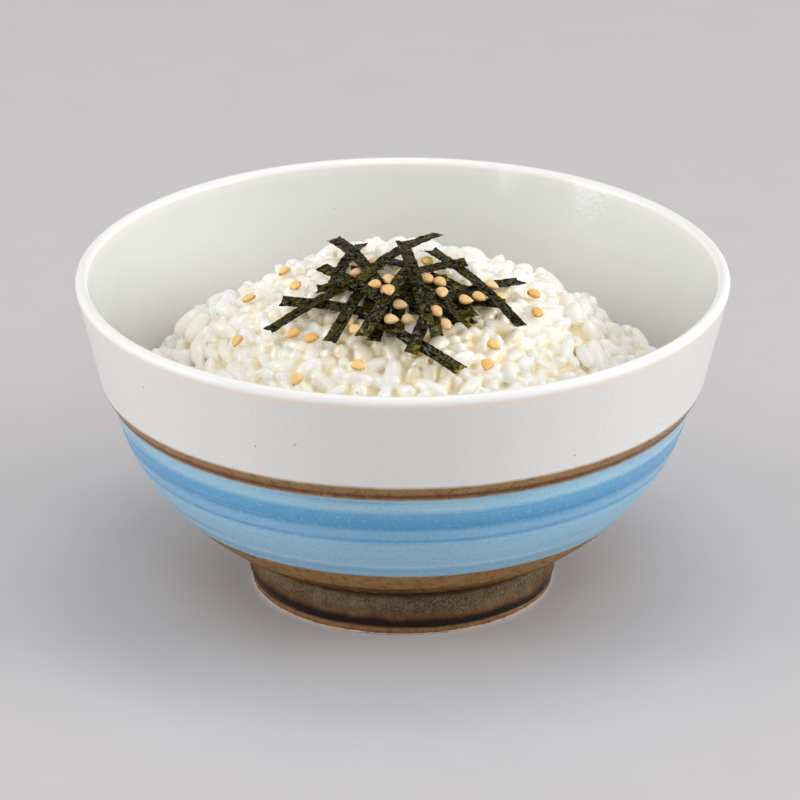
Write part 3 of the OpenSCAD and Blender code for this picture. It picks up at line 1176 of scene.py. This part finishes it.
        def around(values: np.ndarray) -> np.ndarray:
            """The mean of a value over each point's neighbours."""
            return np.bincount(a, values[b], len(points)) / near

        mean = np.stack([around(points[:, axis]) for axis in range(3)], 1)
        hollow = ((mean - points) * normals).sum(1)
        return np.clip((hollow + around(hollow)) / 2 / self.crease_depth, 0, 1)

    def lay_out(self, piece: bpy.types.Object) -> None:
        """Gives each corner its place in a new UV map: left half for what faces up, right for the rest."""
        mesh = piece.data
        corners = read(mesh.loops, "vertex_index", 1, np.int32)[:, 0]
        down = np.repeat(read(mesh.polygons, "normal", 3)[:, 2] < 0, 4)
        spot = read(mesh.vertices, "co", 3)[corners, :2] / (2 * self.edge_r * MM) * self.bake_fill
        places = np.stack([0.25 + 0.5 * down + 0.5 * spot[:, 0], 0.5 + spot[:, 1]], 1)
        layer = mesh.uv_layers.new(name=BAKE_MAP)
        layer.uv.foreach_set("vector", places.astype(np.float32).ravel())

    def stick_together(
        self, name: str, node: str, solids: Sequence[tuple], cell: float, material: bpy.types.Material
    ) -> None:
        """Melts solids into one piece for a node, and keeps its depth, cover and creases on it for the
        rice's painted shade.
        """
        points, faces = melt(solids, cell, self.smoothing)
        piece = new_piece(name, points, faces, [material])
        depth = np.minimum(self.under_top(points)[0], self.off_wall(points)[0] + self.wall_skin)
        store(piece, "rice_gap_shade", np.interp(depth, self.gap_shade_depth, (0, 1)))
        store(piece, "rice_cover_shade", self.cover(points))
        store(piece, "rice_crease_shade", self.creases(piece, points, faces))
        self.lay_out(piece)
        place(piece, Body.RICE, Slot.RICE, node)

    def make(self) -> None:
        """Settles the grains and makes the mound and the three zones of its top."""
        self.settle()
        ring = np.linalg.norm(self.middle[:, :2], axis=1)
        top = np.arange(len(ring)) < self.on_top
        material = CookedRice().material()
        wall = [self.core_block(), self.grains(np.nonzero(~top)[0])]
        self.stick_together("pressed_rice", "rice_mound", wall, self.wall_cell, material)
        for zone, low, high in self.zones:
            chosen = np.nonzero(top & (ring >= low) & (ring < high))[0]
            solids = [self.crust(low - self.lap, high + self.lap), self.grains(chosen)]
            self.stick_together(f"cooked_grains_{zone}", f"rice_grains_{zone}", solids, self.cell, material)


# The topping


@dataclass
class NoriStrip:
    """One shredded strip of seaweed, laid along its CAD node."""

    number: int
    thick: float = 0.22
    torn: float = 1.6
    notch: float = 0.9
    slant: float = 0.35
    ragged: float = 0.07
    flare: float = 0.07
    nick: float = 0.035
    wrinkle: float = 0.08
    cup: float = 0.16
    twist: float = 0.22
    lift: float = 0.4
    wander: float = 0.12
    crease_cap: float = 1.6
    olive_from: float = 7.0
    across: int = 10
    pitch: float = 0.4
    seed: int = 100
    crease_seed: int = 200

    @property
    def node(self) -> str:
        """The name of its CAD node."""
        return f"nori_strip_{self.number:02d}"

    def __post_init__(self) -> None:
        """Reads where the CAD strip lies: its middle, its three directions and its bend."""
        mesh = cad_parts[self.node].data
        points = np.array([v.co for v in mesh.vertices]) / MM
        self.middle = points.mean(0)
        self.along, self.side, self.up = np.linalg.svd(points - self.middle, full_matrices=False)[2]
        if self.up[2] < 0:
            self.up = -self.up
        self.side = np.cross(self.up, self.along)
        local = (points - self.middle) @ np.stack([self.along, self.side, self.up], 1)
        self.half = np.abs(local[:, 0]).max()
        self.half_w = np.abs(local[:, 1]).max()
        self.bend = np.polyfit(local[:, 0], local[:, 2], 2)

    def spine(self) -> np.ndarray:
        """Points along its middle line, a millimetre apart."""
        steps = np.arange(-self.half, self.half, 1.0)
        return self.middle + steps[:, None] * self.along

    def make(self, material: bpy.types.Material) -> None:
        """Cuts the strip with torn ends and wrinkled faces."""
        draw = np.random.default_rng(self.seed + self.number)
        steps = max(12, int(2 * self.half / self.pitch))
        share = np.linspace(-1, 1, steps + 1)[:, None]
        cross = np.linspace(-1, 1, self.across + 1)[None]
        from_end = (1 - np.abs(share)) * self.half
        last = np.clip(1 - from_end / self.torn, 0, 1) ** 2
        cut = np.where(share > 0, self.end(draw, cross), self.end(draw, cross))
        x = share * self.half + np.sign(share) * last * cut
        nick = np.where(cross > 0, draw.normal(size=share.shape), draw.normal(size=share.shape))
        y = self.wander * np.sin(share * 2.2 + draw.random() * 6)
        y = y + cross * self.half_w * (1 + self.flare * last)
        y = y + self.nick * nick * cross * np.abs(cross) ** 5
        flat = np.stack([x, y], 2).reshape(-1, 2)
        crease = waves(flat, 30, 1.0, 5.0, self.crease_seed + self.number).reshape(x.shape)
        crease = np.clip(crease, -self.crease_cap, self.crease_cap)
        curl = self.cup * draw.uniform(-0.6, 1) * (cross**2 - 0.33)
        curl = curl + self.twist * draw.uniform(-1, 1) * share * cross
        rise = self.lift * np.where(share > 0, draw.random(), draw.random()) * np.abs(share) ** 6
        z = np.polyval(self.bend, x) + self.wrinkle * crease + curl + rise
        sheet = np.stack([x, y, z], 2).reshape(-1, 3)
        half_t = np.array([0, 0, self.thick / 2])
        local = np.concatenate([sheet + half_t, sheet - half_t])
        points = self.middle + local @ np.stack([self.along, self.side, self.up])
        piece = new_piece(f"nori_shred_{self.number:02d}", points, self.faces(steps), [material])
        olive = np.broadcast_to(np.clip(1 - from_end / self.olive_from, 0, 1), x.shape)
        store(piece, "strip_end", np.tile(olive.ravel(), 2))
        place(piece, Body.TOPPING, Slot.NORI, self.node)

    def end(self, draw: np.random.Generator, cross: np.ndarray) -> np.ndarray:
        """How far a torn end reaches past the cut, across the strip: a notch between two corners."""
        heart = draw.uniform(-0.4, 0.4)
        reach = -self.notch * draw.uniform(0.15, 1.0) * (1 - np.abs(cross - heart) / (1 + abs(heart)))
        reach = reach + self.slant * draw.uniform(-1, 1) * cross
        return reach + self.ragged * draw.normal(size=cross.shape)

    def faces(self, steps: int) -> list[tuple]:
        """Faces of the two sides and the edge all round."""
        wide = self.across + 1
        low = (steps + 1) * wide
        faces = []
        for i in range(steps):
            for j in range(self.across):
                a = i * wide + j
                faces.append((a, a + wide, a + wide + 1, a + 1))
                faces.append((low + a, low + a + 1, low + a + wide + 1, low + a + wide))
        rim = (
            list(range(wide))
            + [i * wide + self.across for i in range(1, steps + 1)]
            + [steps * wide + j for j in range(self.across - 1, -1, -1)]
            + [i * wide for i in range(steps - 1, 0, -1)]
        )
        for a, b in zip(rim, rim[1:] + rim[:1]):
            faces.append((a, b, low + b, low + a))
        return faces


@dataclass
class SesameSeeds:
    """The seeds of one CAD node, each a drop with a thin rim."""

    node: str
    name: str
    body: Body
    pale: tuple
    gold: tuple
    tip: tuple
    rings: int = 14
    sides: int = 20
    plump: float = 1.4
    broad: float = 1.2
    long: float = 1.08
    dent: float = 0.10
    ridge: float = 0.04
    warp: float = 0.08
    seed: int = 5

    def solids(self) -> list[np.ndarray]:
        """The points of each seed of the CAD node, in millimetres."""
        loose = bmesh.new()
        loose.from_mesh(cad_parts[self.node].data)
        bmesh.ops.remove_doubles(loose, verts=loose.verts, dist=1e-6)
        left, found = set(loose.verts), []
        while left:
            stack = [left.pop()]
            island = []
            while stack:
                vertex = stack.pop()
                island.append(vertex)
                for edge in vertex.link_edges:
                    other = edge.other_vert(vertex)
                    if other in left:
                        left.remove(other)
                        stack.append(other)
            found.append(np.array([v.co for v in island]) / MM)
        loose.free()
        return sorted(found, key=lambda points: tuple(np.round(points.mean(0), 3)))

    def middles(self) -> np.ndarray:
        """The middle of each seed, in millimetres."""
        return np.array([solid.mean(0) for solid in self.solids()])

    def drop(self, solid: np.ndarray, draw: np.random.Generator) -> tuple[np.ndarray, ...]:
        """Points of one seed over its CAD solid, how far along each one is and how near the rim."""
        middle = solid.mean(0)
        _, _, ways = np.linalg.svd(solid - middle, full_matrices=False)
        along, side, up = ways
        local = (solid - middle) @ ways.T
        if abs(local[:, 0].max()) < abs(local[:, 0].min()):
            along = -along
            local[:, 0] *= -1
        if up[2] < 0:
            up = -up
        low, high = local[:, 0].min() * self.long, local[:, 0].max() * self.long
        wide = np.abs(local[:, 1]).max() * self.broad
        tall = np.abs((solid - middle) @ up).max()
        middle = middle + up * tall * (self.plump - 1)
        tall *= self.plump
        polar = math.pi * (np.arange(self.rings) + 0.5) / self.rings
        share = np.concatenate([np.repeat((1 - np.cos(polar)) / 2, self.sides), [0.0, 1.0]])
        turn = np.arange(self.sides) * 2 * math.pi / self.sides
        psi = np.concatenate([np.tile(turn, self.rings), [0, 0]])
        body = share**0.5 * (1 - share) ** draw.uniform(0.72, 1.1)
        body /= body.max()
        rim = np.abs(np.cos(psi))
        hollow = np.exp(-(((share - 0.45) / 0.3) ** 2)) * np.abs(np.sin(psi)) ** 4
        dent = 1 - self.dent * hollow * draw.uniform(0, 1)
        x = low + (high - low) * share
        y = wide * body * np.cos(psi) * (1 + self.ridge * rim**8)
        z = tall * body**0.85 * np.sin(psi) * dent
        z = z + draw.uniform(-self.warp, self.warp) * np.sin(share * math.pi)
        points = middle + np.stack([x, y, z], 1) @ np.stack([along, np.cross(up, along), up])
        return points, share, rim

    def make(self) -> None:
        """Makes the seeds as one piece."""
        draw = np.random.default_rng(self.seed)
        points, tones, alongs, rims = [], [], [], []
        for solid in self.solids():
            drop, along, rim = self.drop(solid, draw)
            points.append(drop)
            tones.append(np.full(len(drop), draw.random()))
            alongs.append(along)
            rims.append(rim)
        outward = [face[::-1] for face in ball_faces(self.rings, self.sides)]
        faces = copies(outward, len(points[0]), len(points))
        finish = ToastedSesame(self.name, self.pale, self.gold, self.tip)
        piece = new_piece(self.name, np.concatenate(points), faces, [finish.material()])
        for name, values in (("seed_tone", tones), ("seed_along", alongs), ("seed_rim_toast_and_shade", rims)):
            store(piece, name, np.concatenate(values))
        place(piece, self.body, Slot.SESAME, self.node)


# The studio


@dataclass(frozen=True)
class Softbox:
    """A rectangular lamp that looks at the bowl. Its sizes are in metres."""

    name: str
    spot: tuple
    width: float
    height: float
    power: float
    aim: tuple = (0, 0, 0.05)

    def hang(self) -> None:
        """Hangs the lamp and turns it to the bowl."""
        lamp = bpy.data.lights.new(self.name, "AREA")
        lamp.shape = "RECTANGLE"
        lamp.size, lamp.size_y = self.width, self.height
        lamp.energy = self.power
        made = bpy.data.objects.new(self.name, lamp)
        made.location = self.spot
        away = Vector(self.aim) - Vector(self.spot)
        made.rotation_euler = away.to_track_quat("-Z", "Y").to_euler()
        made.visible_camera = False
        bpy.context.scene.collection.objects.link(made)


@dataclass
class Studio:
    """The camera, the floor and the light. Its sizes are in metres and degrees."""

    camera_place: tuple = (0.0, -1.8418, 0.8166)
    look_down: float = 22.75
    look_left: float = 0.018
    lens: float = 386.87
    sensor: float = 36.0
    floor_half: float = 4.0
    ambient: float = 0.52
    boxes: tuple = (
        Softbox("overhead", (0.10, 0.10, 1.30), 0.5, 0.4, 2.0),
        Softbox("front_sky", (0.15, -1.40, 1.10), 0.7, 0.5, 4.0),
        Softbox("right_window", (1.30, -0.15, 0.55), 0.9, 0.7, 11.0),
        Softbox("left_window", (-1.30, -0.15, 0.50), 0.8, 0.8, 8.5),
        Softbox("front_window", (-1.05, -1.35, 0.22), 0.10, 0.8, 0.8),
    )

    def make(self) -> None:
        """Sets the camera, lays the floor and lights the scene."""
        scene = bpy.context.scene
        scene.view_settings.view_transform = "Standard"
        lens = bpy.data.cameras.new("photo_camera")
        lens.lens, lens.sensor_width = self.lens, self.sensor
        camera = bpy.data.objects.new("photo_camera", lens)
        camera.location = self.camera_place
        camera.rotation_euler = (math.radians(90 - self.look_down), 0, math.radians(self.look_left))
        scene.collection.objects.link(camera)
        scene.camera = camera

        half = self.floor_half / MM
        ground = [(-half, -half, 0), (half, -half, 0), (half, half, 0), (-half, half, 0)]
        paint = StudioFloor().material()
        floor = new_piece("studio_floor", np.array(ground, float), [(0, 1, 2, 3)], [paint])

        world = bpy.data.worlds.new("studio_air")
        world.use_nodes = True
        air = world.node_tree.nodes["Background"]
        air.inputs["Color"].default_value = (1.0, 1.0, 1.0, 1.0)
        air.inputs["Strength"].default_value = self.ambient
        scene.world = world
        for box in self.boxes:
            box.hang()


def main() -> None:
    """Builds the scene in order."""
    logging.basicConfig(level=logging.INFO, format="%(message)s")
    Studio().make()
    bowl = Bowl()
    bowl.make()
    golden = SesameSeeds(
        "sesame_on_rice",
        "sesame_on_grains",
        Body.RICE,
        pale=(255, 218, 142),
        gold=(241, 182, 86),
        tip=(116, 66, 26),
    )
    names = sorted(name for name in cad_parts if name.startswith("nori_strip_"))
    strips = [NoriStrip(int(name[-2:])) for name in names]
    RiceHeap(bowl, golden.middles(), np.concatenate([strip.spine() for strip in strips])).make()
    nori = DriedNori().material()
    for strip in strips:
        strip.make(nori)
    cream = SesameSeeds(
        "sesame_on_nori",
        "sesame_on_strips",
        Body.TOPPING,
        pale=(252, 224, 172),
        gold=(234, 182, 108),
        tip=(164, 98, 44),
    )
    cream.make()
    golden.make()


if __name__ == "__main__":
    main()
